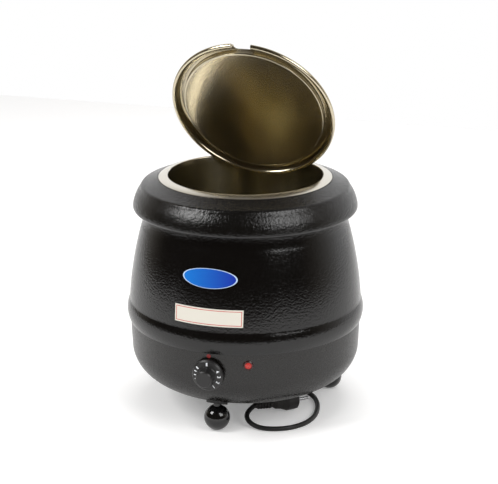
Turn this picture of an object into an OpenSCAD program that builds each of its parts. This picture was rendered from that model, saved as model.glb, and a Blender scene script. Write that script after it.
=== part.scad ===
// Soup kettle: an electric wet-well kettle with a lift-off pot and a hinged, notched lid.
// Z is up from the surface it stands on, and the control knob is at the front, on -Y.

/* [Outer shells] */
// Height of the pot's rim
rim_z = 344; // [338:1:350]
// Thickness of the painted steel sheet
sheet_t = 1.2; // [0.8:0.1:1.6]
// Height where the collar ring meets the upper shell
neck_z = 279; // [276:0.5:282]
// Radius of the shells at both edges of the belt
body_r = 169.7; // [166:0.1:172]
// Outward bow of the upper shell between its neck and the belt
shell_bow = 3; // [1:0.5:5]
// Middle height of the belt bead
belt_z = 145.5; // [140:0.5:150]
// Height of the belt bead
belt_h = 31; // [24:1:36]
// How far the belt bead stands out
belt_rise = 3.3; // [1.5:0.1:5]
// How far the lower shell's wall lies inside the belt
lower_in = 2.7; // [2:0.1:4]
// Height of the kettle's flat underside
under_z = 36; // [36:0.5:40]
// Width of the lower shell's rounded corner
corner_w = 67; // [62:1:70]
// Height of the lower shell's rounded corner
corner_h = 54; // [50:1:56]

/* [Collar ring] */
// How far the collar ring stands out from the neck
collar_out = 15; // [12:0.5:18]
// How far the crease in the collar's shoulder lies outside the neck
shoulder_out = 3; // [2:0.5:4]
// Drop from the pot's rim to the shoulder crease
shoulder_drop = 15; // [12:0.5:18]
// Drop from the pot's rim to the widest point of the collar
curl_drop = 47; // [44:0.5:50]
// Radius of the collar's rolled lower edge
curl_r = 12; // [10:0.5:13]

/* [Pot and water pan] */
// Inner radius of the soup pot
pot_r = 111; // [105:0.5:112]
// Distance from the pot's wall out to the neck
neck_out = 36; // [34:0.5:38]
// Depth of the soup pot
pot_depth = 235; // [225:1:236]
// Thickness of the pot's stainless sheet
pot_t = 1; // [0.6:0.1:1.4]
// Width of the pot's rim
rim_w = 14; // [12:0.5:15]
// Slope of the pot's rim, degrees
rim_slope = 13; // [8:1:16]
// Radius of the pot's rounded bottom edge
pot_round = 28; // [15:1:40]
// Water space between the pot and the water pan
water_gap = 11; // [8:0.5:12]

/* [Lid] */
// How far the middle of the lid's rolled edge lies outside the pot's wall
lid_out = 7; // [5:0.5:8]
// Radius of the lid's rolled edge
roll_r = 3.5; // [2.5:0.1:4]
// Thickness of the lid's sheet
lid_t = 0.8; // [0.6:0.1:1.2]
// Height of the lid's flange over its rolled edge
flange_h = 11; // [8:0.5:12]
// Distance from the pot's wall in to the step inside the flange
step_in = 14; // [12:0.5:18]
// Height of the lid's dome over its rolled edge
dome_h = 24; // [20:0.5:28]
// Width of the ladle notch
notch_w = 29; // [24:0.5:34]
// Depth of the ladle notch from the lid's edge
notch_d = 15; // [12:0.5:18]
// Angle at which the lid stands open, degrees
lid_open = 62; // [60:0.5:64]
// Diameter of the lid's knob
lid_knob_d = 38; // [30:1:44]

/* [Lid hinge] */
// Diameter of both hinge pins
pin_d = 5; // [4:0.5:6]
// Thickness of the hinge plates
plate_t = 2.5; // [2:0.5:3]
// Half the distance between the middles of the bracket's ears
ear_x = 22; // [21:0.5:24]
// Half the distance between the middles of the link's plates
link_x = 18; // [17:0.5:18]
// Half the distance between the middles of the lid arm's plates
arm_x = 13; // [11:0.5:14]

/* [Controls] */
// Height of the knob's axis
knob_z = 100; // [96:0.5:102]
// Sideways place of the knob's axis
knob_x = 2; // [0:0.5:4]
// Diameter of the knob's skirt
skirt_d = 45; // [38:1:48]
// Distance from the shell to the knob's face
knob_reach = 25; // [22:0.5:28]
// Diameter of the thermostat's shaft
shaft_d = 6; // [5:0.5:7]
// Angle of the pilot lamp round the shell, degrees
lamp_angle = 19.4; // [16:0.2:24]
// Height of the pilot lamp
lamp_z = 115; // [112:0.5:117]
// Diameter of the pilot lamp's lens
lens_d = 10; // [8:0.5:11]

/* [Plates] */
// Width of the name plate
label_w = 99; // [80:1:105]
// Height of the name plate
label_h = 24; // [18:1:26]
// Middle height of the name plate
label_z = 183; // [180:0.5:186]
// Width of the oval badge
badge_w = 79; // [60:1:84]
// Height of the oval badge
badge_h = 27; // [20:1:30]
// Middle height of the oval badge
badge_z = 236; // [230:0.5:240]
// Thickness of the plates
badge_t = 0.5; // [0.3:0.1:1]

/* [Feet] */
// Diameter of the ball feet
ball_d = 37; // [34:0.5:37]
// How far the feet stand in from the lower shell's wall
foot_in = 37; // [34:0.5:41]
// Thickness of the rubber pads over the feet
pad_t = 3; // [2:0.5:3]

/* [Mains lead] */
// Diameter of the mains lead
cord_d = 7; // [6:0.25:7.5]

/* [Hidden] */
$fn = 96;
slack = 0.3;          // gap between pieces of different bodies
run = 0.05;           // radial clearance of a shaft in its bore
eps = 0.01;
big = 400;

neck_r = pot_r + neck_out;
lower_r = body_r - lower_in;
collar_r = neck_r + collar_out;
shoulder_r = neck_r + shoulder_out;
lid_r = pot_r + lid_out;
step_r = pot_r - step_in;
foot_r = lower_r - foot_in;
belt_top = belt_z + belt_h / 2;
belt_low = belt_z - belt_h / 2;
flat_r = lower_r - corner_w;
corner_z = under_z + corner_h;
neck_top = neck_z + 18;
shell_top_r = neck_r + 3;
shell_top_z = neck_z - 7;
shoulder_z = rim_z - shoulder_drop;
curl_z = rim_z - curl_drop;
rim_out = pot_r + rim_w - 1;
rim_out_z = rim_z - rim_w * tan(rim_slope);
ledge_z = rim_out_z - 3;
lip_r = rim_out + 0.8;
pan_r = pot_r + pot_t + water_gap;
pan_floor = rim_z - pot_depth - pot_t - water_gap;
pan_rim = neck_top + sheet_t + 1;
pan_flange = neck_r - 3;
pan_under = pan_floor - sheet_t;
pan_round = 30;
base_r = flat_r - 8;
base_hole = flat_r - 16;
screw_r = flat_r - 12;

// A row of points from a to b that bows outward by rise.
function bow(a, b, rise, n = 12) = [for (i = [0 : n])
    let(t = i / n, d = b - a) a + t * d + 4 * rise * t * (1 - t) * [-d[1], d[0]] / norm(d)];
// Points of an arc of radius r round c, from angle a0 to a1.
function arc(c, r, a0, a1, n = 8) = [for (i = [0 : n])
    let(a = a0 + (a1 - a0) * i / n) c + r * [cos(a), sin(a)]];
// Inward normal of a path at its point i.
function inward(p, i) =
    let(d = p[min(i + 1, len(p) - 1)] - p[max(i - 1, 0)]) [d[1], -d[0]] / norm(d);
function shifted(p, t) = [for (i = [0 : len(p) - 1]) p[i] + t * inward(p, i)];
function backward(p) = [for (i = [len(p) - 1 : -1 : 0]) p[i]];
// Closed outline of a sheet of thickness t on one side of a path.
function sheet(p, t) = concat(p, backward(shifted(p, t)));

module turned(p) {
    rotate_extrude() polygon(p);
}
// The next two place a child drawn towards +X at an angle from the front, and a cylinder from a to b.
module at_angle(a, r = 0) {
    rotate([0, 0, a - 90]) translate([r, 0, 0]) children();
}
module rod(a, b, r) {
    d = b - a;
    translate(a) rotate([0, acos(d[2] / norm(d)), atan2(d[1], d[0])]) cylinder(h = norm(d), r = r);
}
// A 2-D outline in the Y-Z plane, extruded to thickness t about x.
module plate(x, t) {
    translate([x - t / 2, 0, 0]) rotate([90, 0, 90]) linear_extrude(t) children();
}
// A bar with round ends. Its sides are a little inside its ends.
module bar(a, b, w) {
    d = b - a;
    side = w - 0.4;
    translate(a) rotate(atan2(d[1], d[0])) translate([0, -side / 2]) square([norm(d), side]);
    translate(a) circle(d = w);
    translate(b) circle(d = w);
}
module hex_nut(across, h, bore_r) {
    difference() {
        cylinder(h = h, d = across / cos(30), $fn = 6);
        translate([0, 0, -1]) cylinder(h = h + 2, r = bore_r, $fn = 32);
    }
}

// Outer faces of the two shells, from the top down.
upper_face = bow([shell_top_r, shell_top_z], [body_r, belt_top], shell_bow, 14);
belt_face = bow([body_r + 0.2, belt_top - 0.6], [body_r + 0.3, belt_low], belt_rise, 12);
upper_path = concat([[neck_r - 14, neck_top], [neck_r - 2, neck_top], [neck_r, neck_top - 2]],
    [[neck_r, neck_z]], upper_face, belt_face);
tuck_r = body_r + 0.3 - sheet_t - 0.25;
wall_low = corner_z + 21;
lower_face = concat([[tuck_r, belt_low - 1], [lower_r + 1, wall_low]],
    [for (a = [0 : 6 : 90]) [flat_r + corner_w * cos(a), corner_z - corner_h * sin(a)]]);
lower_path = concat([[tuck_r - 0.6, belt_low + 12], [tuck_r, belt_low + 2]], lower_face,
    [[base_hole, under_z]]);
function under_at(r) = corner_z - corner_h * sqrt(1 - pow((r - flat_r) / corner_w, 2));
function wall_at(z) = lower_r + (z - corner_z) / (wall_low - corner_z);
knob_y = -wall_at(knob_z);
lamp_r = lookup(lamp_z, [[wall_low, lower_r + 1], [belt_low - 1, tuck_r]]);

module upper_shell() {
    color("#151413") turned(sheet(upper_path, sheet_t));
}
foot_angles = [0, 120, 240];
stem_r = 5;
bush_r = 5;
module lower_shell() {
    color("#2b2928") difference() {
        turned(sheet(lower_path, sheet_t));
        for (a = foot_angles) at_angle(a, foot_r) cylinder(h = corner_z, r = stem_r);
        translate([knob_x, knob_y + 30, knob_z]) rotate([90, 0, 0]) cylinder(h = 60, r = bush_r);
        at_angle(lamp_angle, lamp_r - 20) translate([0, 0, lamp_z])
            rotate([0, 90, 0]) cylinder(h = 40, r = lens_d / 2 - 1);
        for (a = base_angles) at_angle(a, screw_r) cylinder(h = corner_z, r = base_screw_r);
    }
}
base_angles = [45, 135, 225, 315];
base_screw_r = 2;
module base_plate() {
    color("#3a3a3c") difference() {
        translate([0, 0, under_z - sheet_t]) cylinder(h = sheet_t, r = base_r);
        for (a = base_angles) at_angle(a, screw_r) cylinder(h = corner_z, r = base_screw_r);
        translate(gland_at + [0, 0, -big / 2]) cylinder(h = big, r = lead_hole);
    }
}
module base_screws() {
    color("silver") for (a = base_angles) at_angle(a, screw_r) {
        translate([0, 0, under_z - sheet_t - 2]) cylinder(h = 2, r = 3.6);
        translate([0, 0, under_z - sheet_t - eps]) cylinder(h = 10, r = base_screw_r);
    }
}

// The ball feet, their pads and nuts. A foot's stem goes up through the lower shell.
foot_seat = under_at(foot_r + 7) + 2.2;
module foot(a) {
    color("#0d0d0d") at_angle(a, foot_r) {
        intersection() {
            translate([0, 0, ball_d / 2 - 0.2]) sphere(d = ball_d);
            cylinder(h = ball_d, d = ball_d + 1);
        }
        translate([0, 0, ball_d - 3]) cylinder(h = foot_seat + 7.5 - ball_d + 3, r = stem_r);
    }
}
module foot_pads() {
    color("#161616") for (a = foot_angles) intersection() {
        turned(sheet(lower_face, -pad_t));
        at_angle(a, foot_r) difference() {
            cylinder(h = corner_z, r = 15);
            translate([0, 0, -1]) cylinder(h = corner_z, r = stem_r);
        }
    }
}
module foot_nuts() {
    color("silver") for (a = foot_angles)
        at_angle(a, foot_r) translate([0, 0, foot_seat]) hex_nut(14, 6, stem_r);
}

// The water pan hangs by its flange on the neck and holds the heater under its floor.
pan_path = concat([[pan_flange, pan_rim], [pan_r + 3, pan_rim]], arc([pan_r + 2, pan_rim - 2], 2, 90, 180, 4),
    arc([pan_r - pan_round, pan_floor + pan_round], pan_round, 0, -90, 10), [[0, pan_floor]]);
module water_pan() {
    color("#b9b9b6") turned(sheet(pan_path, -sheet_t));
}
module pan_gasket() {
    color("#222222") translate([0, 0, neck_top]) difference() {
        cylinder(h = pan_rim - sheet_t - neck_top, r = pan_flange);
        translate([0, 0, -1]) cylinder(h = 5, r = neck_r - 14);
    }
}
element_r = 72;
element_turn = 80;
rod_r = 4;
stud_r = 52;
stud_d = 5;
stud_angles = [60, 180, 300];
clamp_z = pan_under - 2 * rod_r - 2;
shield_z = clamp_z - 9;
module pan_studs() {
    color("silver") for (a = stud_angles) at_angle(a, stud_r)
        translate([0, 0, shield_z - 7]) cylinder(h = pan_under - shield_z + 7, d = stud_d);
}
module heater_ring() {
    color("#5a5048") translate([0, 0, pan_under - rod_r]) {
        difference() {
            rotate_extrude() translate([element_r, 0]) circle(r = rod_r, $fn = 32);
            rotate([0, 0, element_turn]) translate([0, -15, -big / 2]) cube([big, 30, big]);
        }
        for (s = [-1, 1]) rotate([0, 0, element_turn + s * 14]) translate([element_r, 0, -22])
            cylinder(h = 22, r = rod_r - 1, $fn = 32);
    }
}
module heater_clamp() {
    color("#8d8d8a") difference() {
        translate([0, 0, clamp_z]) cylinder(h = 2, r = element_r + 6);
        translate([0, 0, clamp_z - 1]) cylinder(h = 4, r = 30);
        for (a = stud_angles) at_angle(a, stud_r) cylinder(h = big, d = stud_d);
        rotate([0, 0, element_turn]) translate([element_r - 16, -28, 0]) cube([40, 56, big]);
    }
}
module heat_shield() {
    color("#a8a8a4") difference() {
        translate([0, 0, shield_z]) cylinder(h = 1, r = element_r + 8);
        for (a = stud_angles) at_angle(a, stud_r) cylinder(h = big, d = stud_d);
        rotate([0, 0, element_turn]) translate([element_r - 16, -28, 0]) cube([40, 56, big]);
    }
}
module stud_nuts() {
    color("silver") for (a = stud_angles, z = [shield_z - 4, shield_z + 1, clamp_z - 4])
        at_angle(a, stud_r) translate([0, 0, z]) hex_nut(8, 4, stud_d / 2);
}
bulb_y = -(element_r + rod_r + 6);
bulb_len = 60;
bulb_r = 3;
tube_r = 1.2;
tube_low = 66;
module sensor_bulb() {
    color("#b5763c") translate([-bulb_len / 2, bulb_y, pan_under - bulb_r]) rotate([0, 90, 0])
        cylinder(h = bulb_len, r = bulb_r, $fn = 32);
}
module capillary() {
    a = [bulb_len / 2, bulb_y, pan_under - bulb_r];
    b = [bulb_len / 2 + 10, bulb_y, pan_under - bulb_r];
    c = [bulb_len / 2 + 10, bulb_y - 16, tube_low];
    d = [knob_x + 6, thermo_back - 8, tube_low];
    e = [knob_x + 6, thermo_back - 8, knob_z - 18];
    color("#b5763c") for (p = [[a, b], [b, c], [c, d], [d, e]]) {
        rod(p[0], p[1], tube_r);
        if (p[1] != e) translate(p[1]) sphere(r = tube_r + 0.4, $fn = 24);
    }
}
module thermal_cutout() {
    color("#d8d2c4") translate([0, 0, pan_under - 9]) cylinder(h = 9, r = 9);
}

// The controls sit on a bracket behind the front of the lower shell.
bracket_y = knob_y + 8.5;
thermo_back = bracket_y + 26;
module control_bracket() {
    half = sqrt(pow(lower_r - sheet_t - 0.8, 2) - pow(bracket_y, 2)) - 3;
    color("#9c9c98") difference() {
        translate([-half, bracket_y, knob_z - 20]) cube([2 * half, 1.5, 40]);
        translate([knob_x, bracket_y + 10, knob_z]) rotate([90, 0, 0]) cylinder(h = 30, r = bush_r);
    }
}
module thermostat_body() {
    color("#cfc9b8") difference() {
        union() {
            translate([knob_x - 22, bracket_y + 1.5, knob_z - 18]) cube([44, 22, 36]);
            translate([knob_x, bracket_y + 2, knob_z]) rotate([90, 0, 0])
                cylinder(h = bracket_y + 2 - knob_y + 1.5, r = bush_r);
        }
        translate([knob_x, thermo_back, knob_z]) rotate([90, 0, 0]) cylinder(h = 60, r = shaft_d / 2 + run);
    }
}
// The lamp stands square to the wall, which leans out by lamp_lean.
lamp_off = 0.05;
lamp_lean = atan((tuck_r - lower_r - 1) / (belt_low - 1 - wall_low));
module lamp_out() {
    at_angle(lamp_angle, lamp_r) translate([0, 0, lamp_z]) rotate([0, 90 + lamp_lean, 0]) children();
}
module lamp_lens() {
    color("#c22a22") lamp_out() {
        intersection() {
            translate([0, 0, 0.6 - lens_d]) sphere(r = lens_d + 1.4);
            translate([0, 0, lamp_off]) cylinder(h = 5, d = lens_d);
        }
        translate([0, 0, -3]) cylinder(h = 3.5, r = lens_d / 2 - 1.2);
    }
}
module lamp_bezel() {
    color("#3a1512") lamp_out() rotate_extrude() polygon([[lens_d / 2, lamp_off],
        [lens_d / 2 + 2.5, lamp_off], [lens_d / 2 + 2.2, 0.8], [lens_d / 2 + 1.2, 1.6], [lens_d / 2, 1.6]]);
}
module lamp_body() {
    color("#dcd8cc") lamp_out() translate([0, 0, -24]) cylinder(h = 21, r = lens_d / 2 - 1);
}
module terminal_block() {
    color("#e6e0cc") translate([-22, -(element_r + 8 + 4) - 16, under_z + sheet_t]) cube([44, 16, 14]);
}

// Thin plates that follow the shell's curve. Each is cut from a skin over the shell.
module skin_piece(face, z) {
    intersection() {
        turned(concat(shifted(face, -badge_t), backward(face)));
        translate([0, 0, z]) rotate([90, 0, 0]) linear_extrude(big / 2) children();
    }
}
module index_mark() {
    color("#a01c1c") skin_piece(lower_face, (belt_low + knob_z + skirt_d / 2) / 2)
        translate([knob_x, 0]) circle(d = 6);
}
module name_plate() {
    color("#efeae6") skin_piece(upper_face, label_z) square([label_w, label_h], center = true);
}
module badge_plate() {
    color("#1f5fae") skin_piece(upper_face, badge_z)
        polygon([for (a = [0 : 7.5 : 352.5]) [badge_w / 2 * cos(a), badge_h / 2 * sin(a)]]);
}

// The mains lead leaves a gland under the base, is wound into a coil there, and runs round to its plug.
gland_at = [12, -34, under_z - sheet_t];
lead_hole = 5;
lead_z = 24;
gland_len = 22;
cone_len = 30;
coil_at = [-28, 87];
coil_mid = 41.5;
plug_z = 17;
low = cord_d / 2;
lead_points = [[12, 7, 24], [12, 20, 23], [13, 34, 20], [14, 48, 16], [16, 62, 13]];
loop_points = [[-12, 42, low], [8, 42, low], [32, 42, low], [58, 40, low], [83, 32, low], [102, 16, low],
    [114, -6, low], [121, -31, low], [123, -57, low], [117, -82, low], [102, -102, low], [81, -114, low],
    [58, -118, low + 0.5], [39, -110, 8], [31, -92, 14], [38, -73, plug_z]];
module cord_gland() {
    color("#141414") translate([gland_at[0], gland_at[1] - 11, 0]) {
        translate([-10, 0, lead_z - 10]) cube([20, gland_len, under_z - sheet_t - lead_z + 10]);
        translate([0, 11, under_z - sheet_t - eps]) cylinder(h = 8, r = lead_hole);
        translate([0, gland_len, lead_z]) rotate([-90, 0, 0])
            cylinder(h = cone_len, r1 = 8, r2 = cord_d / 2 + 1.2);
    }
}
// A point at t between p[i] and p[i + 1] on a smooth line through p, and p with n points to each stretch.
function smooth(p, i, t) =
    let(n = len(p) - 1, a = p[max(i - 1, 0)], b = p[i], c = p[min(i + 1, n)], d = p[min(i + 2, n)])
    0.5 * (2 * b + (c - a) * t + (2 * a - 5 * b + 4 * c - d) * t * t + (3 * b - a - 3 * c + d) * t * t * t);
function refined(p, n) =
    concat([for (i = [0 : len(p) - 2], j = [0 : n - 1]) smooth(p, i, j / n)], [p[len(p) - 1]]);
// A tube of eight sides along a row of points.
module tube(p, r) {
    sides = 8;
    m = len(p);
    rings = [for (i = [0 : m - 1])
        let(d = p[min(i + 1, m - 1)] - p[max(i - 1, 0)], f = d / norm(d), s = cross([0, 0, 1], f))
        for (k = [0 : sides - 1]) let(a = (k + 0.5) * 360 / sides)
            p[i] + r * (cos(a) * s + sin(a) * cross(f, s)) / norm(s)];
    walls = [for (i = [0 : m - 2], k = [0 : sides - 1])
        let(a = i * sides + k, b = i * sides + (k + 1) % sides) [a, a + sides, b + sides, b]];
    first = [for (k = [0 : sides - 1]) k];
    last = [for (k = [sides - 1 : -1 : 0]) (m - 1) * sides + k];
    polyhedron(rings, concat(walls, [first, last]));
}
module cord_lead() {
    color("#1a1a1a") tube(lead_points, cord_d / 2);
}
module cord_coil() {
    w = 2 * cord_d;
    color("#1a1a1a") translate([coil_at[0], coil_at[1], 0]) rotate_extrude() translate([coil_mid - cord_d, 0])
        polygon([[0, 2], [2, 0], [w - 2, 0], [w, 2], [w, w - 2], [w - 2, w], [2, w], [0, w - 2]]);
}
module cord_loop() {
    color("#1a1a1a") tube(refined(loop_points, 2), cord_d / 2);
}
plug_turn = 45;
plug_r = 16.5;
pin_side = 9.5;
module on_plug() {
    end = loop_points[len(loop_points) - 1];
    translate([end[0], end[1], plug_z]) rotate([0, 90, plug_turn]) children();
}
relief_len = 28;
plug_len = 38;
module plug_relief() {
    color("#241f1f") on_plug() {
        cylinder(h = relief_len, r1 = cord_d / 2 + 0.8, r2 = 7);
        for (i = [1 : 5]) translate([0, 0, i * 4.4]) cylinder(h = 2.4, r = 6 + i * 0.5);
    }
}
module plug_body() {
    color("#1c1a19") on_plug() translate([0, 0, relief_len]) rotate_extrude()
        polygon([[0, 0], [8, 0], [11, 4], [12.5, 12], [15, 18], [plug_r, 21], [plug_r, plug_len - 1.5],
            [15, plug_len], [0, plug_len]]);
}
module plug_pins() {
    color("silver") on_plug() for (s = [-1, 1]) translate([0, s * pin_side, relief_len + plug_len]) {
        cylinder(h = 17, r = 2.4, $fn = 32);
        translate([0, 0, 17]) cylinder(h = 2, r1 = 2.4, r2 = 1.2, $fn = 32);
    }
}

// The collar ring, its seat and the pot lift off together.
collar_path = concat([[pot_r + 5, ledge_z], [lip_r + 0.6, ledge_z], [lip_r + 1, rim_out_z - 0.8]],
    bow([shoulder_r - 4, shoulder_z + 1.8], [shoulder_r + 2, shoulder_z - 3], 1.2, 4),
    bow([shoulder_r + 3, shoulder_z - 5], [collar_r - 0.2, curl_z + 3], 1.5, 6),
    arc([collar_r - curl_r, curl_z], curl_r, 0, -80, 8), [[neck_r + 2.2, neck_z + 4]]);
module collar_ring() {
    color("#121110") difference() {
        turned(sheet(collar_path, sheet_t));
        for (s = [-1, 1]) bracket_screw(s) translate([0, 0, -8]) cylinder(h = 12, r = 2);
    }
}
seat_z = pan_rim + slack;
module seat_ring() {
    color("#2a2a2a") turned([[pot_r + 5, ledge_z - sheet_t], [pot_r + 7, ledge_z - sheet_t],
        [pan_r + 6, seat_z + sheet_t + 2], [pan_r + 9, seat_z + sheet_t], [pan_flange, seat_z + sheet_t],
        [pan_flange, seat_z], [pan_r + 8, seat_z], [pan_r + 4, seat_z + 2]]);
}
pot_path = concat([[lip_r, ledge_z], [lip_r, rim_out_z - 0.6], [rim_out, rim_out_z]],
    arc([pot_r + 2, rim_z - 2.4], 2, 77, 180, 6),
    arc([pot_r - pot_round, rim_z - pot_depth + pot_round], pot_round, 0, -90, 10), [[0, rim_z - pot_depth]]);
module soup_pot() {
    color("#c9c6bf") turned(sheet(pot_path, -pot_t));
}

// Lid hinge: a bracket on the collar, a short link and an arm on the lid. Pin places are [y, z].
bracket_pin = [lid_r + 11, rim_z + 34.6];
link_open = [lid_r + 19.7, rim_z + 6];
arm_pin = [lid_r - 2.1, 54.5];
hub_d = 12;
screw_side = 29;
screw_at = lip_r + 13.2;
module bracket_screw(s) {
    slope = atan((rim_out_z - shoulder_z) / (shoulder_r - lip_r));
    at_angle(180 - s * asin(screw_side / screw_at), screw_at)
        translate([0, 0, rim_out_z - 0.8 - (screw_at - lip_r - 1) * tan(slope)])
            rotate([0, slope, 0]) children();
}
module under_collar() {
    turned(concat([[0, 0], [0, ledge_z]], collar_path));
}
module hinge_bracket() {
    color("#b4b2ac") difference() {
        union() {
            intersection() {
                turned(sheet(collar_path, -2));
                translate([-screw_side - 7, lip_r + 3, rim_z - 40])
                    cube([2 * screw_side + 14, shoulder_r - lip_r - 6, 50]);
            }
            difference() {
                for (s = [-1, 1]) plate(s * ear_x, plate_t) {
                    polygon([[lip_r + 1, rim_z - 4], [shoulder_r - 2, rim_z - 20],
                        bracket_pin + [hub_d / 2, 0], bracket_pin - [hub_d / 2, 0]]);
                    translate(bracket_pin) circle(d = hub_d);
                }
                under_collar();
            }
        }
        plate(0, big) translate(bracket_pin) circle(d = pin_d);
        for (s = [-1, 1]) bracket_screw(s) translate([0, 0, -8]) cylinder(h = 20, r = 2);
    }
}
module bracket_screws() {
    color("silver") for (s = [-1, 1]) bracket_screw(s) {
        translate([0, 0, -6]) cylinder(h = 9, r = 2);
        translate([0, 0, 2.3]) cylinder(h = 2.2, r1 = 3.8, r2 = 2.6);
    }
}
module link_pin() {
    color("silver") plate(0, 2 * ear_x + plate_t + 3) translate(bracket_pin) circle(d = pin_d);
}
module hinge_link() {
    color("#b4b2ac") difference() {
        union() {
            for (s = [-1, 1]) plate(s * link_x, plate_t) bar(bracket_pin, link_open, hub_d - 2);
            plate(0, 2 * link_x) translate(bracket_pin) circle(d = hub_d - 3);
        }
        plate(0, big) translate(bracket_pin) circle(r = pin_d / 2 + run);
        plate(0, big) translate(link_open) circle(d = pin_d);
    }
}
module lid_pin() {
    color("silver") plate(0, 2 * link_x + plate_t + 1) translate(link_open) circle(d = pin_d);
}

// The lid group is drawn closed, about the middle of its rolled edge, and turned open about the hinge.
lid_path = concat([[lid_r - 2.5, 0], [lid_r - 2.5, flange_h - 5]],
    arc([lid_r - 5.5, flange_h - 4.7], 3, 0, 80, 5), [[step_r + 3, flange_h], [step_r + 1, flange_h + 0.8]],
    [[step_r, flange_h + 3], [step_r - 2, flange_h + 4.5]],
    bow([step_r - 4, flange_h + 5], [12, dome_h], -1.5, 10), [[0, dome_h]]);
module at_lid() {
    translate([0, link_open[0], link_open[1]]) rotate([-lid_open, 0, 0])
        translate([0, -arm_pin[0], -arm_pin[1]]) children();
}
module notch_cut() {
    inner = lid_r + roll_r - notch_d;
    corner = 6;
    translate([0, 0, -20]) linear_extrude(60) {
        translate([-notch_w / 2, -lid_r - 20]) square([notch_w, lid_r + 20 - inner - corner]);
        translate([corner - notch_w / 2, -lid_r - 20]) square([notch_w - 2 * corner, lid_r + 20 - inner]);
        for (s = [-1, 1]) translate([s * (notch_w / 2 - corner), -inner - corner]) circle(r = corner);
    }
}
rivet_x = arm_x + plate_t / 2 + 4;
rivet_y = [step_r - 30, step_r - 9];
rivet_r = 1.8;
knob_screw_r = 2.5;
foot_t = 1.5;
module lid_shell() {
    color("#c4c1ba") at_lid() difference() {
        union() {
            turned(sheet(lid_path, -lid_t));
            rotate_extrude() translate([lid_r, 0]) circle(r = roll_r, $fn = 32);
        }
        notch_cut();
        for (s = [-1, 1], y = rivet_y) translate([s * rivet_x, y, 0]) cylinder(h = 40, r = rivet_r, $fn = 32);
        cylinder(h = 40, r = knob_screw_r, $fn = 32);
    }
}
module arm_outline() {
    bar([rivet_y[1] - 6, flange_h + 9], arm_pin, hub_d);
    polygon([[rivet_y[0] - 4, flange_h + 3], [rivet_y[1] + 2, flange_h + 3],
        [rivet_y[1] + 4, flange_h + 16], [rivet_y[0], flange_h + 12]]);
}
module lid_arm() {
    color("#b4b2ac") at_lid() difference() {
        union() {
            intersection() {
                turned(sheet(lid_path, foot_t));
                translate([-rivet_x - 6, rivet_y[0] - 7, flange_h])
                    cube([2 * rivet_x + 12, rivet_y[1] - rivet_y[0] + 11, 30]);
            }
            difference() {
                for (s = [-1, 1]) plate(s * arm_x, plate_t) arm_outline();
                turned(concat([[0, -5]], shifted(lid_path, foot_t / 2)));
            }
        }
        plate(0, big) translate(arm_pin) circle(r = pin_d / 2 + run);
        for (s = [-1, 1], y = rivet_y) translate([s * rivet_x, y, 0]) cylinder(h = 40, r = rivet_r, $fn = 32);
    }
}
module arm_rivets() {
    color("silver") at_lid() for (s = [-1, 1], y = rivet_y) translate([s * rivet_x, y, 0]) {
        z = lookup(norm([rivet_x, y]), [for (p = backward(lid_path)) if (p[1] > flange_h) p]);
        translate([0, 0, z - lid_t - 1.2]) cylinder(h = lid_t + 4.6, r = rivet_r, $fn = 32);
        translate([0, 0, z + foot_t + 0.9]) cylinder(h = 1.6, r1 = 3.4, r2 = 2, $fn = 32);
        translate([0, 0, z - lid_t - 2]) cylinder(h = 1.2, r = 3, $fn = 32);
    }
}
module lid_knob() {
    r = lid_knob_d / 2;
    color("#141414") at_lid() translate([0, 0, dome_h]) difference() {
        turned([[0, 0], [r - 7, 0], [r - 8, 2], [r - 10, 10], [r - 9, 14], [r - 3, 18], [r, 23], [r - 1, 28],
            [r - 5, 31.5], [0, 33]]);
        translate([0, 0, -1]) cylinder(h = 17, r = knob_screw_r, $fn = 32);
    }
}
module lid_screw() {
    color("silver") at_lid() {
        translate([0, 0, dome_h - lid_t - 2.4]) cylinder(h = 2.4, r1 = 3.4, r2 = 4.6);
        translate([0, 0, dome_h - lid_t - eps]) cylinder(h = 15, r = knob_screw_r, $fn = 32);
    }
}

// The knob turns with the thermostat's shaft. The skirt stands clear of the curved shell.
skirt_gap = 3;
grip_r = skirt_d / 2 - 9;
module on_knob() {
    translate([knob_x, knob_y - skirt_gap, knob_z]) rotate([90, 0, 0]) children();
}
module control_knob() {
    h = knob_reach - skirt_gap;
    color("#131313") on_knob() difference() {
        turned([[0, 0], [skirt_d / 2, 0], [skirt_d / 2, 4.5], [skirt_d / 2 - 2, 6.5], [grip_r + 1, 7.5],
            [grip_r, 9], [grip_r - 1.5, h - 1.5], [grip_r - 3, h], [0, h]]);
        translate([0, 0, -1]) cylinder(h = h - 5, r = shaft_d / 2, $fn = 48);
    }
}
module knob_pointer() {
    color("#f0f0f0") on_knob() translate([-1.1, grip_r + 1.5, 7 - 0.4]) cube([2.2, 4.6, 1]);
}
module thermostat_shaft() {
    h = knob_reach - skirt_gap;
    color("silver") on_knob() translate([0, 0, -18]) cylinder(h = 18 + h - 6, r = shaft_d / 2, $fn = 48);
}

upper_shell();
lower_shell();
base_plate();
base_screws();
foot(foot_angles[0]);  // foot_front
foot(foot_angles[1]);  // foot_rear_right
foot(foot_angles[2]);  // foot_rear_left
foot_pads();
foot_nuts();
water_pan();
pan_gasket();
pan_studs();
heater_ring();
heater_clamp();
heat_shield();
stud_nuts();
sensor_bulb();
capillary();
thermal_cutout();
control_bracket();
thermostat_body();
lamp_lens();
lamp_bezel();
lamp_body();
terminal_block();
index_mark();
name_plate();
badge_plate();
cord_gland();
cord_lead();
cord_coil();
cord_loop();
plug_relief();
plug_body();
plug_pins();
collar_ring();
seat_ring();
soup_pot();
hinge_bracket();
bracket_screws();
link_pin();
hinge_link();
lid_pin();
lid_shell();
lid_arm();
arm_rivets();
lid_knob();
lid_screw();
control_knob();
knob_pointer();
thermostat_shaft();
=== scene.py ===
import math

import bmesh
import bpy
from mathutils import Matrix, Vector


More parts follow.
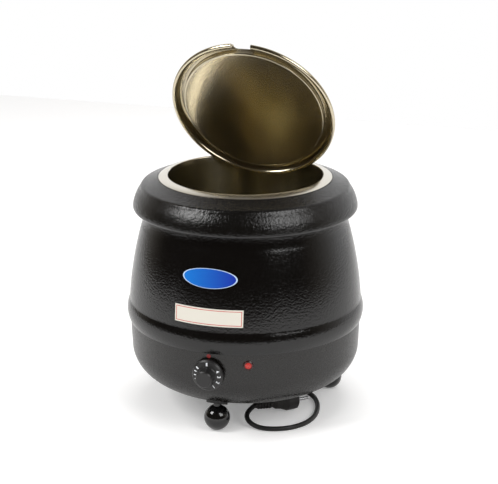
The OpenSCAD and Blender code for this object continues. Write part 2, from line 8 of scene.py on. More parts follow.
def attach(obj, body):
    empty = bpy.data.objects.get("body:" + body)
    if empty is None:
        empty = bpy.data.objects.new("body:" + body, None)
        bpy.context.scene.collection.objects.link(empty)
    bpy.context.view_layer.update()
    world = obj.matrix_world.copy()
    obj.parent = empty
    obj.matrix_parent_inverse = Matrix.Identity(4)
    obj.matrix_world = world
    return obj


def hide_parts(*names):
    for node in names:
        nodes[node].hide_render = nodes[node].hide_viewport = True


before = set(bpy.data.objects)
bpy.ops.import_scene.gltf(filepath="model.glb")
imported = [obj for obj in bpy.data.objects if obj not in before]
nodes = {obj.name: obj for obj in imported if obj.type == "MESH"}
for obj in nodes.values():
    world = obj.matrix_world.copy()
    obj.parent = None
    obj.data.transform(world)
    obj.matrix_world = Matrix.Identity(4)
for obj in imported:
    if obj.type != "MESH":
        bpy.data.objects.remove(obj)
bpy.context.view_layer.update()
MM = 0.001

# ---------------------------------------------------------------------------
# Camera
# A long lens from the front right, a little above the rim. The aim is the
# middle of the kettle and its raised lid.
CAMERA_TURN = math.radians(18.0)
CAMERA_RISE = math.radians(17.75)
CAMERA_REACH = 2.2
CAMERA_AIM = Vector((0.00497, 0.00162, 0.2398))
CAMERA_LENS, CAMERA_SENSOR, CAMERA_FAR = 109.2, 36, 50

away = Vector((math.sin(CAMERA_TURN) * math.cos(CAMERA_RISE),
               -math.cos(CAMERA_TURN) * math.cos(CAMERA_RISE),
               math.sin(CAMERA_RISE)))
camera = bpy.data.objects.new("camera", bpy.data.cameras.new("camera"))
camera.data.lens = CAMERA_LENS
camera.data.sensor_width = CAMERA_SENSOR
camera.data.clip_end = CAMERA_FAR
camera.location = CAMERA_AIM + away * CAMERA_REACH
camera.rotation_euler = (-away).to_track_quat("-Z", "Y").to_euler()
bpy.context.collection.objects.link(camera)
bpy.context.scene.camera = camera
bpy.context.scene.view_settings.view_transform = "Standard"


# ---------------------------------------------------------------------------
# Mains lead
# A 1.5 m black rubber-sheathed lead, 7 mm thick. It leaves a gland under the base,
# is wound into a coil there, and runs round to its plug at the front right.
def srgb(text):
    """A colour written as sRGB hex, as the linear RGBA that shaders take."""
    parts = [int(text[i:i + 2], 16) / 255 for i in (1, 3, 5)]
    return (*[c / 12.92 if c <= 0.04045 else ((c + 0.055) / 1.055) ** 2.4 for c in parts], 1.0)


def add(tree, kind, inputs=None, **settings):
    """A shader node with its settings, and with values or links for its inputs, by name or number."""
    made = tree.nodes.new(kind)
    for name, value in settings.items():
        setattr(made, name, value)
    for name, value in (inputs or {}).items():
        if isinstance(value, bpy.types.NodeSocket):
            tree.links.new(value, made.inputs[name])
        else:
            made.inputs[name].default_value = value
    return made


def surface(name, colour, roughness, metallic=0.0, **sockets):
    """A material with one Principled shader: returns the material, its node tree and the shader."""
    material = bpy.data.materials.new(name)
    material.use_nodes = True
    tree = material.node_tree
    shader = tree.nodes["Principled BSDF"]
    shader.inputs["Base Color"].default_value = srgb(colour)
    shader.inputs["Roughness"].default_value = roughness
    shader.inputs["Metallic"].default_value = metallic
    for socket, value in sockets.items():
        shader.inputs[socket.replace("_", " ")].default_value = value
    return material, tree, shader


NOISE_LOW, NOISE_HIGH = 0.3, 0.7


def textured(tree, shader, grain_mm, low, high, bump_mm=0.0, stretch=(1, 1, 1), coordinates="Object"):
    """Noise of that grain size, which varies the roughness from low to high and lifts by bump_mm."""
    place = add(tree, "ShaderNodeTexCoord")
    turn = add(tree, "ShaderNodeMapping", {"Vector": place.outputs[coordinates], "Scale": stretch})
    grain = add(tree, "ShaderNodeTexNoise",
                {"Vector": turn.outputs[0], "Scale": 1 / (grain_mm * MM), "Detail": 3.0})
    span = add(tree, "ShaderNodeMapRange",
               {"Value": grain.outputs["Fac"], "From Min": NOISE_LOW, "From Max": NOISE_HIGH,
                "To Min": low, "To Max": high})
    tree.links.new(span.outputs[0], shader.inputs["Roughness"])
    if bump_mm:
        lift = add(tree, "ShaderNodeBump", {"Height": grain.outputs["Fac"], "Distance": bump_mm * MM})
        tree.links.new(lift.outputs[0], shader.inputs["Normal"])


def plain_finish(name, colour, roughness, grain_mm, low, high, bump_mm=0.0, metallic=0.0,
                 stretch=(1, 1, 1), **sockets):
    """A material of one colour, whose gloss varies with its grain."""
    material, tree, shader = surface(name, colour, roughness, metallic, **sockets)
    textured(tree, shader, grain_mm, low, high, bump_mm, stretch)
    return material


# Extruded rubber sheath: satin black, with a faint grain that dulls it unevenly.
sheath = plain_finish("sheath_rubber", "#171616", 0.5, 2.0, 0.38, 0.6, 0.05)

LEAD_THICK = 7 * MM
COIL_CENTRE = (-28, 87)
COIL_LOW, COIL_HIGH = 3.5, 10.5
COIL_INNER, COIL_OUTER = 38, 45
COIL_POINTS_A_TURN = 24
lead_points = [(12, 7, 24), (12, 20, 23), (13, 34, 20), (14, 48, 16), (16, 62, 13)]
loop_points = [(-12, 42, 3.5), (8, 42, 3.5), (32, 42, 3.5), (58, 40, 3.5),
               (83, 32, 3.5), (102, 16, 3.5), (114, -6, 3.5), (121, -31, 3.5),
               (123, -57, 3.5), (117, -82, 3.5), (102, -102, 3.5), (81, -114, 3.5),
               (58, -118, 4), (39, -110, 8), (31, -92, 14), (38, -73, 17)]
# The coil: (turns, radius, height) at each stage, from the top outer turn in, down, and out again.
stages = [(0.0, COIL_OUTER, COIL_HIGH), (0.74, COIL_OUTER, COIL_HIGH), (1.0, COIL_INNER, COIL_HIGH),
          (1.74, COIL_INNER, COIL_HIGH), (2.0, COIL_INNER, COIL_LOW), (2.74, COIL_INNER, COIL_LOW),
          (3.0, COIL_OUTER, COIL_LOW), (3.7, COIL_OUTER, COIL_LOW)]
coil_points = []
for (t0, r0, z0), (t1, r1, z1) in zip(stages, stages[1:]):
    count = max(2, round((t1 - t0) * COIL_POINTS_A_TURN))
    for i in range(count):
        s = i / count
        ease = s * s * (3 - 2 * s)
        turn = math.tau * (t0 + (t1 - t0) * s)
        radius = r0 + (r1 - r0) * ease
        coil_points.append((COIL_CENTRE[0] + radius * math.cos(turn),
                            COIL_CENTRE[1] + radius * math.sin(turn),
                            z0 + (z1 - z0) * ease))
route = lead_points + coil_points + loop_points
line = bpy.data.curves.new("mains_lead", "CURVE")
line.dimensions = "3D"
line.bevel_depth = LEAD_THICK / 2
line.bevel_resolution = 4
line.resolution_u = 6
line.use_fill_caps = True
spline = line.splines.new("NURBS")
spline.points.add(len(route) - 1)
for point, (x, y, z) in zip(spline.points, route):
    point.co = (x * MM, y * MM, z * MM, 1)
spline.order_u = 3
spline.use_endpoint_u = True
line.materials.append(sheath)
lead = bpy.data.objects.new("mains_lead", line)
bpy.context.collection.objects.link(lead)
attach(lead, "body")
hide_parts("cord_lead", "cord_coil", "cord_loop")


# ---------------------------------------------------------------------------
# Outer shells
# Two deep-drawn steel shells, powder-coated gloss black with a fine orange peel. The upper
# one is rolled out into a belt over the top edge of the lower one.
def bow(a, b, rise, count=24):
    """Points from a to b that bow outward by rise."""
    (ar, az), (br, bz) = a, b
    length = math.hypot(br - ar, bz - az)
    side = ((az - bz) / length, (br - ar) / length)
    points = []
    for i in range(count + 1):
        t = i / count
        out = 4 * rise * t * (1 - t)
        points.append((ar + (br - ar) * t + out * side[0], az + (bz - az) * t + out * side[1]))
    return points


def arc(centre, radius, start, end, count=12, squash=1.0):
    """Points of an arc in degrees round a centre; squash flattens its height."""
    turns = [math.radians(start + (end - start) * i / count) for i in range(count + 1)]
    return [(centre[0] + radius * math.cos(t), centre[1] + squash * radius * math.sin(t)) for t in turns]


def doubled(path, thick):
    """A path and its copy at one side, as the outline of a sheet of that thickness."""
    inner = []
    for i, (r, z) in enumerate(path):
        (ar, az), (br, bz) = path[max(i - 1, 0)], path[min(i + 1, len(path) - 1)]
        length = math.hypot(br - ar, bz - az)
        inner.append((max(r + thick * (bz - az) / length, 0.0), z - thick * (br - ar) / length))
    return path + inner[::-1]


SPIN_STEPS = 160
MERGE = 1e-6


def turned(name, outline, material, closed=True, sharp=38):
    """An outline spun about the pot's axis into a solid, with a polar UV map for its brushing."""
    bm = bmesh.new()
    run = bm.verts.layers.float.new("run")
    ring = [bm.verts.new((r * MM, 0, z * MM)) for r, z in outline]
    for a, b in zip(ring, ring[1:]):
        b[run] = a[run] + (b.co - a.co).length
    pairs = list(zip(ring, ring[1:])) + ([(ring[-1], ring[0])] if closed else [])
    edges = [bm.edges.new(pair) for pair in pairs if any(v.co.x > 0 for v in pair)]
    bmesh.ops.spin(bm, geom=ring + edges, cent=(0, 0, 0), axis=(0, 0, 1), angle=math.tau,
                   steps=SPIN_STEPS, use_merge=True)
    bmesh.ops.remove_doubles(bm, verts=bm.verts, dist=MERGE)
    bmesh.ops.recalc_face_normals(bm, faces=bm.faces)
    polar = bm.loops.layers.uv.new("polar")
    for face in bm.faces:
        middle = face.calc_center_median()
        base = math.atan2(middle.y, middle.x)
        for loop in face.loops:
            x, y = loop.vert.co.xy
            turn = math.atan2(y, x) if math.hypot(x, y) > MERGE else base
            turn = base + (turn - base + math.pi) % math.tau - math.pi
            loop[polar].uv = (turn, loop.vert[run])
    mesh = bpy.data.meshes.new(name)
    bm.to_mesh(mesh)
    bm.free()
    mesh.shade_smooth()
    mesh.set_sharp_from_angle(angle=math.radians(sharp))
    mesh.materials.append(material)
    made = bpy.data.objects.new(name, mesh)
    bpy.context.collection.objects.link(made)
    return made


# Powder-coated steel: deep gloss black, whose orange peel breaks highlights into specks. Its
# grain is drawn 3 mm from crest to crest, because a finer one is lost at this distance. The
# lower shell's coat is duller, and its black is painted a little paler and warmer: a painted
# reflection of the white floor.
PEEL = 3.0
coat = plain_finish("black_powder_coat", "#080707", 0.2, PEEL, 0.1, 0.2, 0.35)
low_coat = plain_finish("black_powder_coat_low", "#0e0c0a", 0.2, PEEL, 0.2, 0.32, 0.2)

SHEET = 1.2
NECK_R, NECK_Z, NECK_TOP, NECK_LIP, NECK_BEND = 147, 279, 297, 14, 2
SHELL_TOP_R, SHELL_TOP_Z, SHELL_BOW = NECK_R + 3, NECK_Z - 7, 3
BODY_R, BELT_Z, BELT_H, BELT_RISE, BELT_EDGE = 169.7, 145.5, 31, 3.3, 0.6
BELT_TOP, BELT_LOW = BELT_Z + BELT_H / 2, BELT_Z - BELT_H / 2
BELT_R = BODY_R + 0.3
neck = [(NECK_R - NECK_LIP, NECK_TOP), (NECK_R - NECK_BEND, NECK_TOP), (NECK_R, NECK_TOP - NECK_BEND),
        (NECK_R, NECK_Z)]
upper_face = bow((SHELL_TOP_R, SHELL_TOP_Z), (BODY_R, BELT_TOP), SHELL_BOW, 40)
belt_face = bow((BODY_R + 0.2, BELT_TOP - BELT_EDGE), (BELT_R, BELT_LOW + BELT_EDGE), BELT_RISE, 20)
upper = turned("upper_shell_skin", doubled(neck + upper_face + belt_face, SHEET), coat)
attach(upper, "body")
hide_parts("upper_shell")

LOWER_R, UNDER_Z, CORNER_W, CORNER_H, WALL_LOW = 167, 36, 67, 54, 111
TUCK_GAP, TUCK_UP, UNDER_LIP = 0.25, 12, 16
FLAT_R, CORNER_Z = LOWER_R - CORNER_W, UNDER_Z + CORNER_H
TUCK_R = BELT_R - SHEET - TUCK_GAP
lower_path = [(TUCK_R - 0.6, BELT_LOW + TUCK_UP), (TUCK_R, BELT_LOW + 2), (TUCK_R, BELT_LOW - 1),
              (LOWER_R + 1, WALL_LOW)]
lower_path += arc((FLAT_R, CORNER_Z), CORNER_W, 0, -90, 30, CORNER_H / CORNER_W)
lower_path += [(FLAT_R - UNDER_LIP, UNDER_Z)]
lower = turned("lower_shell_skin", doubled(lower_path, SHEET), low_coat)
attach(lower, "body")
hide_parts("lower_shell")

# ---------------------------------------------------------------------------
# Collar ring
# A spun steel ring in the same gloss black. Its lower edge is rolled under, and it lifts
# off the shell's neck with the pot that hangs in it.
RIM_Z, COLLAR_R, CURL_R, CURL_Z, SHOULDER_R, SHOULDER_Z = 344, 162, 4.5, 299, 149, 329.8
POT_R, RIM_W, RIM_SLOPE, LEDGE_W = 111, 14, math.radians(13), 5
RIM_OUT, RIM_OUT_Z = POT_R + RIM_W - 1, RIM_Z - RIM_W * math.tan(RIM_SLOPE)
LIP_R, LEDGE_Z = RIM_OUT + 0.8, RIM_OUT_Z - 3
collar_path = [(POT_R + LEDGE_W, LEDGE_Z), (LIP_R + 0.6, LEDGE_Z), (LIP_R + 0.8, RIM_OUT_Z - 1.2),
               (LIP_R + 1.4, RIM_OUT_Z - 0.9)]
collar_path += bow((SHOULDER_R - 4, SHOULDER_Z + 1.8), (SHOULDER_R + 2, SHOULDER_Z - 3), 1.2, 6)
collar_path += bow((SHOULDER_R + 3, SHOULDER_Z - 5), (COLLAR_R - 0.2, CURL_Z + 3), 1.5, 10)
collar_path += arc((COLLAR_R - CURL_R, CURL_Z), CURL_R, 0, -100, 16)
collar_path += [(NECK_R + 4, CURL_Z - CURL_R + 2)]
# The same powder coat on a rougher spinning: its peel is over twice as deep, so its highlights
# scatter.
collar_coat = plain_finish("black_collar_coat", "#0a0908", 0.2, PEEL, 0.12, 0.26, 0.8)
collar = turned("collar_ring_skin", doubled(collar_path, SHEET), collar_coat)
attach(collar, "top")
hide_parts("collar_ring")


# ---------------------------------------------------------------------------
# Soup pot
# One deep drawing in stainless steel, turned and brushed on a lathe, so its fine scratches
# run round it. Its bright rim slopes outward and ends in a lip that rests in the collar.
def stainless(name, colour, low, high, lean, scratch_mm=0.7):
    """Lathe-brushed stainless steel: scratches round the axis stretch each reflection across them.

    The real ones are too fine to show, so they are drawn over half a millimetre wide.
    """
    material, tree, shader = surface(name, colour, 0.25, 1.0, Anisotropic=lean, Anisotropic_Rotation=0.25)
    along = add(tree, "ShaderNodeTangent", direction_type="UV_MAP", uv_map="polar")
    tree.links.new(along.outputs[0], shader.inputs["Tangent"])
    textured(tree, shader, scratch_mm, low, high, 0.012, stretch=(0.02, 1, 1), coordinates="UV")
    return material, tree, shader


POT_T, POT_DEPTH, POT_ROUND, RIM_ROUND = 1, 235, 28, 2
REFLECTION_BAND, RIM_FADE_LOW, RIM_FADE_HIGH = 22.2, 10, 4
# Drawn stainless steel: a bright polished rim, and under it a wall painted in upright bands, each
# about 22 mm wide, of dark olive painted shade and pale painted reflection.
pot_steel, tree, shader = stainless("brushed_pot_steel", "#e2ddd2", 0.14, 0.26, 0.6)
place = add(tree, "ShaderNodeTexCoord")
lines = add(tree, "ShaderNodeMapping", {"Vector": place.outputs["UV"], "Scale": (1, 0.02, 1)})
# Painted reflection bands: noise round the pot mixes dark olive painted shade with pale painted reflection.
reflection_bands = add(tree, "ShaderNodeTexNoise",
            {"Vector": lines.outputs[0], "Scale": POT_R / REFLECTION_BAND, "Detail": 2.0})
wall = add(tree, "ShaderNodeMix", {"Factor": reflection_bands.outputs["Fac"], 6: srgb("#8a8060"), 7: srgb("#e6dec4")},
           data_type="RGBA")
split = add(tree, "ShaderNodeSeparateXYZ", {"Vector": place.outputs["Object"]})
# The painted shade and bands fade out into the plain steel colour 10 to 4 mm below the rim's top.
on_rim = add(tree, "ShaderNodeMapRange",
             {"Value": split.outputs["Z"], "From Min": (RIM_Z - RIM_FADE_LOW) * MM,
              "From Max": (RIM_Z - RIM_FADE_HIGH) * MM})
both = add(tree, "ShaderNodeMix", {"Factor": on_rim.outputs[0], 6: wall.outputs[2], 7: srgb("#e2ddd2")},
           data_type="RGBA")
tree.links.new(both.outputs[2], shader.inputs["Base Color"])

pot_path = [(LIP_R, LEDGE_Z), (LIP_R, RIM_OUT_Z - 0.6), (RIM_OUT, RIM_OUT_Z)]
pot_path += arc((POT_R + RIM_ROUND, RIM_Z - 2.4), RIM_ROUND, 77, 180, 10)
pot_path += arc((POT_R - POT_ROUND, RIM_Z - POT_DEPTH + POT_ROUND), POT_ROUND, 0, -90, 16)
pot_path += [(0, RIM_Z - POT_DEPTH)]
pot = turned("soup_pot_skin", doubled(pot_path, -POT_T), pot_steel, sharp=50)
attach(pot, "top")
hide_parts("soup_pot")

# ---------------------------------------------------------------------------
# Lid
# Spun stainless steel in two walls, open on its hinge: a domed outer wall with a flange and a
# rolled edge, and a nearly flat liner pressed in under the dome. A notch for the ladle is cut
# through the front of its edge, which shows the hollow roll.
LID_R, ROLL_R, LID_T, FLANGE_H, STEP_R, DOME_H, FLAT_MIDDLE = 118, 3.5, 0.8, 11, 97, 24, 12
LINER_R, LINER_RISE = 103.6, 3.2
outer_face = [(0, DOME_H)] + bow((FLAT_MIDDLE, DOME_H), (STEP_R - 4, FLANGE_H + 5), 1.5, 16)
outer_face += [(STEP_R - 2, FLANGE_H + 4.4), (STEP_R - 0.5, FLANGE_H + 3), (STEP_R + 0.8, FLANGE_H + 1),
               (STEP_R + 3, FLANGE_H)]
outer_face += arc((LID_R - 5.7, FLANGE_H - 4.4), 3, 82, 0, 6) + [(LID_R - 2.7, 1)]
roll = arc((LID_R, 0), ROLL_R - LID_T, 165, 480, 30) + arc((LID_R, 0), ROLL_R, 480, 180, 30)
inner_face = [(LID_R - 3.5, 1)] + arc((LID_R - 6.2, FLANGE_H - 4.4), 2.2, 20, 85, 5)
inner_face += arc((LINER_R + 2.2, FLANGE_H - 3), 1.4, 90, 180, 4)
inner_face += [(LINER_R + 0.8, 2.4)] + arc((LINER_R - 0.8, 1.6), 1.6, 0, -80, 5)
inner_face += bow((LINER_R - 3, 0.1), (FLAT_MIDDLE, LINER_RISE), -0.6, 16) + [(0, LINER_RISE)]
# Spun stainless steel: a warmer sheet than the pot, brushed in rings, which throws a fan of light.
lid_steel = stainless("brushed_lid_steel", "#cbc1a8", 0.14, 0.26, 0.7, 0.6)[0]
lid = turned("lid_skin", outer_face + roll + inner_face, lid_steel, closed=False, sharp=45)

NOTCH_W, NOTCH_D, NOTCH_CORNER, CUTTER_H = 29, 16.6, 6, 80
EDGE_Y = -(LID_R + ROLL_R) * MM
bm = bmesh.new()
bmesh.ops.create_cube(bm, size=1)
bmesh.ops.transform(bm, verts=bm.verts,
                    matrix=Matrix.Diagonal((NOTCH_W * MM, 2 * NOTCH_D * MM, CUTTER_H * MM, 1)))
bmesh.ops.translate(bm, verts=bm.verts, vec=(0, EDGE_Y, 0))
floor_edges = [e for e in bm.edges if all(v.co.y > EDGE_Y for v in e.verts)
               and abs(e.verts[0].co.z - e.verts[1].co.z) > CUTTER_H * MM / 2]
bmesh.ops.bevel(bm, geom=floor_edges, offset=NOTCH_CORNER * MM, segments=6, profile=0.5,
                affect="EDGES", material=-1)
cutter_mesh = bpy.data.meshes.new("notch_cutter")
bm.to_mesh(cutter_mesh)
bm.free()
cutter = bpy.data.objects.new("notch_cutter", cutter_mesh)
bpy.context.collection.objects.link(cutter)
cut = lid.modifiers.new("notch", "BOOLEAN")
cut.object = cutter
cut.solver = "EXACT"
bpy.context.view_layer.update()
cut_mesh = bpy.data.meshes.new_from_object(lid.evaluated_get(bpy.context.evaluated_depsgraph_get()))
lid.modifiers.clear()
bpy.data.objects.remove(cutter)

LID_OPEN = math.radians(62)
HINGE_PIN, ARM_PIN = (137.7, 350), (115.9, 54.5)
at_lid = (Matrix.Translation((0, HINGE_PIN[0] * MM, HINGE_PIN[1] * MM)) @ Matrix.Rotation(-LID_OPEN, 4, "X")
          @ Matrix.Translation((0, -ARM_PIN[0] * MM, -ARM_PIN[1] * MM)))
lid.data = cut_mesh
lid.data.transform(at_lid)
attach(lid, "lid")
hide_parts("lid_shell")

# ---------------------------------------------------------------------------
# Other pieces that the solids show as they are
# Pressed and turned parts: stainless hinge plates, zinc screws, moulded black knobs and feet,
# the lamp's red lens and the parts of the heater under the pan.

# Compression-moulded phenolic: deep black under a hard, clear gloss.
phenolic = plain_finish("black_phenolic", "#0a0a0a", 0.1, 6.0, 0.08, 0.16, Coat_Weight=0.4)
# Moulded knob with a spark-textured grip: dark grey and satin, so it shows its ribs.
grip = plain_finish("textured_grip", "#1b1a1a", 0.36, 1.5, 0.32, 0.44, 0.06)
# Moulded rubber: matt black with a faint grain. The plug's is smoother and browner.
rubber = plain_finish("black_rubber", "#141313", 0.55, 1.5, 0.45, 0.7, 0.05)
plug_rubber = plain_finish("plug_rubber", "#1d1a19", 0.42, 1.5, 0.34, 0.52, 0.04)
# Pressed stainless sheet: grey and bright, with the rolling's fine lines across it.
plate_steel = plain_finish("pressed_stainless", "#b9b6ae", 0.28, 1.0, 0.2, 0.36, 0.01, metallic=1.0,
                           stretch=(1, 0.1, 0.1))
# Bright zinc plate on steel screws and pins: cool and slightly cloudy.
zinc = plain_finish("zinc_plate", "#c3c4c6", 0.3, 2.0, 0.22, 0.38, metallic=1.0)
# Stainless rivets and screw: olive grey and rough, without a clear highlight.
dull_steel = plain_finish("dull_stainless", "#77705c", 0.4, 2.0, 0.34, 0.48, metallic=1.0)
# Drawn aluminium of the pan and covers: a soft, even grey sheen.
aluminium = plain_finish("drawn_aluminium", "#a9aaaa", 0.4, 3.0, 0.32, 0.48, metallic=1.0)
# The element's steel tube, browned by its own heat.
hot_steel = plain_finish("heated_steel", "#4c433b", 0.5, 4.0, 0.4, 0.62, metallic=1.0)
# Drawn copper of the sensor: warm and half dull.
copper = plain_finish("copper_tube", "#b5703f", 0.3, 2.0, 0.24, 0.4, metallic=1.0)
# Moulded thermoset of the electrical parts: plain cream, almost matt.
cream = plain_finish("cream_moulding", "#d8d0bb", 0.45, 1.0, 0.4, 0.55, 0.02)
# Red polycarbonate over an unlit lamp: even red with a soft shine. Its bezel is a darker red.
lens = plain_finish("red_lens", "#b5302a", 0.22, 1.2, 0.18, 0.3, 0.05)
bezel = plain_finish("dark_red_bezel", "#2a0d0b", 0.25, 2.0, 0.2, 0.3)
# Pad-printing ink: flat colour with the paint's gloss knocked back.
red_ink = plain_finish("red_print", "#7c1616", 0.4, 1.0, 0.35, 0.5)
white_ink = plain_finish("white_print", "#e9ecef", 0.4, 1.0, 0.35, 0.5)
# A thinner coat on the hidden seat, left half matt.
seat_coat = plain_finish("black_seat_coat", "#141413", 0.2, PEEL, 0.3, 0.45, 0.05)

pieces_in = {
    phenolic: ["foot_front", "foot_rear_right", "foot_rear_left", "lid_knob"],
    grip: ["control_knob"],
    rubber: ["foot_pads", "pan_gasket", "cord_gland"],
    plug_rubber: ["plug_relief", "plug_body"],
    plate_steel: ["hinge_bracket", "hinge_link", "lid_arm"],
    zinc: ["bracket_screws", "link_pin", "lid_pin", "base_screws", "foot_nuts", "pan_studs",
           "stud_nuts", "control_bracket", "thermostat_shaft", "plug_pins"],
    dull_steel: ["arm_rivets", "lid_screw"],
    aluminium: ["base_plate", "water_pan", "heater_clamp", "heat_shield"],
    hot_steel: ["heater_ring"],
    copper: ["sensor_bulb", "capillary"],
    cream: ["thermal_cutout", "thermostat_body", "lamp_body", "terminal_block"],
    lens: ["lamp_lens"],
    bezel: ["lamp_bezel"],
    red_ink: ["index_mark"],
    white_ink: ["knob_pointer"],
    seat_coat: ["seat_ring"],
}
for material, names in pieces_in.items():
    for name in names:
        for held in nodes[name].material_slots:
            held.material = material

# ---------------------------------------------------------------------------
# Name plate
# A bare white plastic plate with a printed red line near its edge, glued to the upper shell.
# Moulded ABS: creamy white and satin, with the thin line of ink all round it.
PLATE_W, PLATE_H, PLATE_Z, PLATE_LINE, PLATE_INSET = 99, 24, 183, 0.9, 2.2
plate_abs, tree, shader = surface("white_plate", "#ddd8cc", 0.35)
textured(tree, shader, 3.0, 0.3, 0.42)
place = add(tree, "ShaderNodeTexCoord")
split = add(tree, "ShaderNodeSeparateXYZ", {"Vector": place.outputs["Object"]})
side = add(tree, "ShaderNodeMath", {0: split.outputs["X"]}, operation="ABSOLUTE")
height = add(tree, "ShaderNodeMath", {0: split.outputs["Z"], 1: PLATE_Z * MM}, operation="SUBTRACT")
rise = add(tree, "ShaderNodeMath", {0: height.outputs[0]}, operation="ABSOLUTE")
side_in = add(tree, "ShaderNodeMath", {0: PLATE_W / 2 * MM, 1: side.outputs[0]}, operation="SUBTRACT")
rise_in = add(tree, "ShaderNodeMath", {0: PLATE_H / 2 * MM, 1: rise.outputs[0]}, operation="SUBTRACT")
from_edge = add(tree, "ShaderNodeMath", {0: side_in.outputs[0], 1: rise_in.outputs[0]}, operation="MINIMUM")
on_line = add(tree, "ShaderNodeMath",
              {0: from_edge.outputs[0], 1: PLATE_INSET * MM, 2: PLATE_LINE / 2 * MM}, operation="COMPARE")
print_on = add(tree, "ShaderNodeMix",
               {"Factor": on_line.outputs[0], 6: srgb("#ddd8cc"), 7: srgb("#c23a33")}, data_type="RGBA")
tree.links.new(print_on.outputs[2], shader.inputs["Base Color"])
for held in nodes["name_plate"].material_slots:
    held.material = plate_abs

# ---------------------------------------------------------------------------
# Badge
# A plain oval of enamelled metal, glued to the upper shell above the plate. Vitreous enamel:
# a clear gloss over a blue that deepens to the right, with a pale edge.
BADGE_W, BADGE_H, BADGE_Z, BADGE_EDGE = 79, 27, 236, 0.95
enamel, tree, shader = surface("blue_enamel", "#1f62b5", 0.16, Coat_Weight=0.5)
textured(tree, shader, 4.0, 0.12, 0.2)
place = add(tree, "ShaderNodeTexCoord")
split = add(tree, "ShaderNodeSeparateXYZ", {"Vector": place.outputs["Object"]})
across = add(tree, "ShaderNodeMath", {0: split.outputs["X"], 1: BADGE_W / 2 * MM}, operation="DIVIDE")
height = add(tree, "ShaderNodeMath", {0: split.outputs["Z"], 1: BADGE_Z * MM}, operation="SUBTRACT")
upward = add(tree, "ShaderNodeMath", {0: height.outputs[0], 1: BADGE_H / 2 * MM}, operation="DIVIDE")
across_2 = add(tree, "ShaderNodeMath", {0: across.outputs[0], 1: across.outputs[0]}, operation="MULTIPLY")
upward_2 = add(tree, "ShaderNodeMath", {0: upward.outputs[0], 1: upward.outputs[0]}, operation="MULTIPLY")
outward_2 = add(tree, "ShaderNodeMath", {0: across_2.outputs[0], 1: upward_2.outputs[0]}, operation="ADD")
outward = add(tree, "ShaderNodeMath", {0: outward_2.outputs[0]}, operation="SQRT")
edge = add(tree, "ShaderNodeMath", {0: outward.outputs[0], 1: BADGE_EDGE}, operation="GREATER_THAN")
from_left = add(tree, "ShaderNodeMath", {0: across.outputs[0], 1: 0.5, 2: 0.5}, operation="MULTIPLY_ADD")
fade = add(tree, "ShaderNodeValToRGB", {"Fac": from_left.outputs[0]})
fade.color_ramp.elements[0].color = srgb("#1a78d2")
fade.color_ramp.elements[1].color = srgb("#1c2fa0")
blue = add(tree, "ShaderNodeMix", {"Factor": edge.outputs[0], 6: fade.outputs[0], 7: srgb("#bcd3ee")},
           data_type="RGBA")
tree.links.new(blue.outputs[2], shader.inputs["Base Color"])
for held in nodes["badge_plate"].material_slots:
    held.material = enamel

# ---------------------------------------------------------------------------
# Dial print
# Plain numbers for the settings and a row of growing bars, pad-printed in white on the
# skirt of the control knob. They turn with it.
KNOB_X, KNOB_Z, SKIRT_GAP, SKIRT_OUT, SKIRT_LEAN = 2, 100, 3, 7.05, 9.5
WALL_AT_KNOB = LOWER_R + (KNOB_Z - CORNER_Z) / (WALL_LOW - CORNER_Z)
SKIRT_Y = -(WALL_AT_KNOB + SKIRT_GAP + SKIRT_OUT)
PRINT_R, PRINT_T, DIGIT_H, DIGIT_STROKE = 17.4, 0.3, 6.6, 0.12
# Each number and its angle clockwise from the dial's top.
DIGITS = [("4", 62), ("3", 88), ("2", 116), ("1", 146)]
BARS, BARS_START, BARS_STEP = 5, -128, 19
BAR_W, BAR_WIDER, BAR_H, BAR_TALLER, BAR_EDGE = 0.8, 0.25, 2, 0.6, 0.05


def dial_print(name, bm, turn):
    """A flat print, drawn upright round the origin in XY, set on the skirt turned clockwise from its top."""
    to_skirt = (Matrix.Translation((KNOB_X * MM, SKIRT_Y * MM, KNOB_Z * MM))
                @ Matrix.Rotation(math.radians(turn), 4, "Y") @ Matrix.Translation((0, 0, PRINT_R * MM))
                @ Matrix.Rotation(math.radians(90 - SKIRT_LEAN), 4, "X"))
    bmesh.ops.transform(bm, verts=bm.verts, matrix=to_skirt)
    bmesh.ops.recalc_face_normals(bm, faces=bm.faces)
    mesh = bpy.data.meshes.new(name)
    bm.to_mesh(mesh)
    bm.free()
    mesh.materials.append(white_ink)
    made = bpy.data.objects.new(name, mesh)
    bpy.context.collection.objects.link(made)
    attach(made, "knob")


for digit, turn in DIGITS:
    words = bpy.data.curves.new("digit", "FONT")
    words.body = digit
    words.size = DIGIT_H * MM
    words.align_x = "CENTER"
    words.align_y = "CENTER"
    words.offset = DIGIT_STROKE * MM
    words.extrude = PRINT_T / 2 * MM
    made = bpy.data.objects.new("digit", words)
    bpy.context.collection.objects.link(made)
    bm = bmesh.new()
    bm.from_mesh(bpy.data.meshes.new_from_object(made.evaluated_get(bpy.context.evaluated_depsgraph_get())))
    bpy.data.objects.remove(made)
    dial_print("dial_number_" + digit, bm, turn)
for i in range(BARS):
    bm = bmesh.new()
    bmesh.ops.create_cube(bm, size=1)
    wide, high = BAR_W + BAR_WIDER * i, BAR_H + BAR_TALLER * i
    bmesh.ops.transform(bm, verts=bm.verts, matrix=Matrix.Diagonal((wide * MM, high * MM, PRINT_T * MM, 1)))
    bmesh.ops.bevel(bm, geom=bm.edges[:], offset=BAR_EDGE * MM, segments=1, profile=0.5,
                    affect="EDGES", material=-1)
    dial_print(f"dial_bar_{i}", bm, BARS_START + BARS_STEP * i)

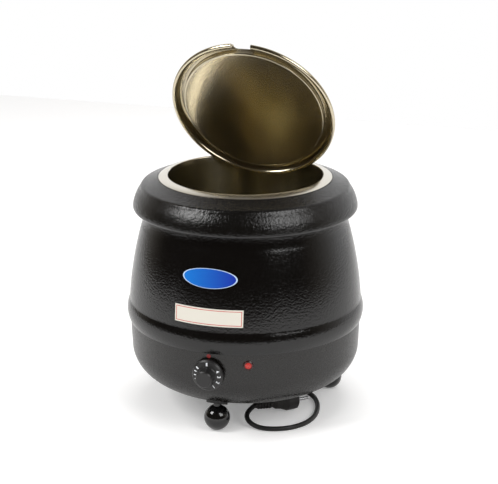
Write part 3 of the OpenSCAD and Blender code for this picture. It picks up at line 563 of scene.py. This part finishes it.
# ---------------------------------------------------------------------------
# Studio
# A white floor and background with soft lights at both sides and above. The camera sees the
# background white; the room that lights the kettle is dimmer.
FLOOR_HALF, FLOOR_BACK, FLOOR_GLOW = 1.5, 0.3, 0.22
bm = bmesh.new()
bmesh.ops.create_grid(bm, x_segments=1, y_segments=1, size=FLOOR_HALF)
bmesh.ops.translate(bm, verts=bm.verts, vec=(0, FLOOR_BACK, 0))
floor_mesh = bpy.data.meshes.new("floor")
bm.to_mesh(floor_mesh)
bm.free()
# Matt paper: near white. Its small glow, for the camera only, lifts it to the background's white.
floor_white, tree, shader = surface("floor_paper", "#f4f3f2", 0.9)
textured(tree, shader, 300, 0.85, 0.95)
rays = add(tree, "ShaderNodeLightPath")
glow = add(tree, "ShaderNodeMath", {0: rays.outputs["Is Camera Ray"], 1: FLOOR_GLOW}, operation="MULTIPLY")
tree.links.new(glow.outputs[0], shader.inputs["Emission Strength"])
shader.inputs["Emission Color"].default_value = (1, 1, 1, 1)
floor_mesh.materials.append(floor_white)
floor = bpy.data.objects.new("floor", floor_mesh)
bpy.context.collection.objects.link(floor)

# The room: white to the camera, half as strong to the matt surfaces. Reflections see a white
# back, a dim warm front, and less light overhead. Y and Z are how far back and up a ray looks.
ROOM_LIGHT, FRONT_LIGHT, OVERHEAD_LIGHT = 0.5, 0.1, 0.35
FRONT_Y, BACK_Y, WALL_Z, OVERHEAD_Z = -0.2, 0.7, 0.77, 0.88
world = bpy.data.worlds.new("studio")
bpy.context.scene.world = world
world.use_nodes = True
tree = world.node_tree
backing = tree.nodes["Background"]
rays = add(tree, "ShaderNodeLightPath")
place = add(tree, "ShaderNodeTexCoord")
split = add(tree, "ShaderNodeSeparateXYZ", {"Vector": place.outputs["Generated"]})
depth = add(tree, "ShaderNodeMapRange",
            {"Value": split.outputs["Y"], "From Min": FRONT_Y, "From Max": BACK_Y,
             "To Min": FRONT_LIGHT, "To Max": 1.0})
overhead = add(tree, "ShaderNodeMapRange",
               {"Value": split.outputs["Z"], "From Min": WALL_Z, "From Max": OVERHEAD_Z,
                "To Min": 1.0, "To Max": OVERHEAD_LIGHT})
mirrored = add(tree, "ShaderNodeMath", {0: depth.outputs[0], 1: overhead.outputs[0]}, operation="MULTIPLY")
unseen = add(tree, "ShaderNodeMix",
             {"Factor": rays.outputs["Is Glossy Ray"], 2: ROOM_LIGHT, 3: mirrored.outputs[0]},
             data_type="FLOAT")
strength = add(tree, "ShaderNodeMix",
               {"Factor": rays.outputs["Is Camera Ray"], 2: unseen.outputs[0], 3: 1.0},
               data_type="FLOAT")
tree.links.new(strength.outputs[0], backing.inputs["Strength"])
tone = add(tree, "ShaderNodeMix", {"Factor": depth.outputs[0], 6: srgb("#b8a582"), 7: (1, 1, 1, 1)},
           data_type="RGBA")
hue = add(tree, "ShaderNodeMix",
          {"Factor": rays.outputs["Is Glossy Ray"], 6: (1, 1, 1, 1), 7: tone.outputs[2]}, data_type="RGBA")
tree.links.new(hue.outputs[2], backing.inputs["Color"])

# Name, place in metres, width in metres and power in watts. The top one shows in no reflection.
LAMPS = [("key", (-1.5, -1.3, 1.9), 1.0, 34),
         ("fill", (1.7, -0.9, 1.5), 1.2, 22),
         ("top", (0.1, 0.5, 2.3), 1.6, 26)]
LAMPS_AIM = Vector((0, 0, 0.2))
for name, where, size, power in LAMPS:
    lamp = bpy.data.objects.new(name, bpy.data.lights.new(name, "AREA"))
    lamp.data.size = size
    lamp.data.energy = power
    lamp.visible_glossy = name != "top"
    lamp.location = where
    lamp.rotation_euler = (LAMPS_AIM - Vector(where)).to_track_quat("-Z", "Y").to_euler()
    bpy.context.collection.objects.link(lamp)
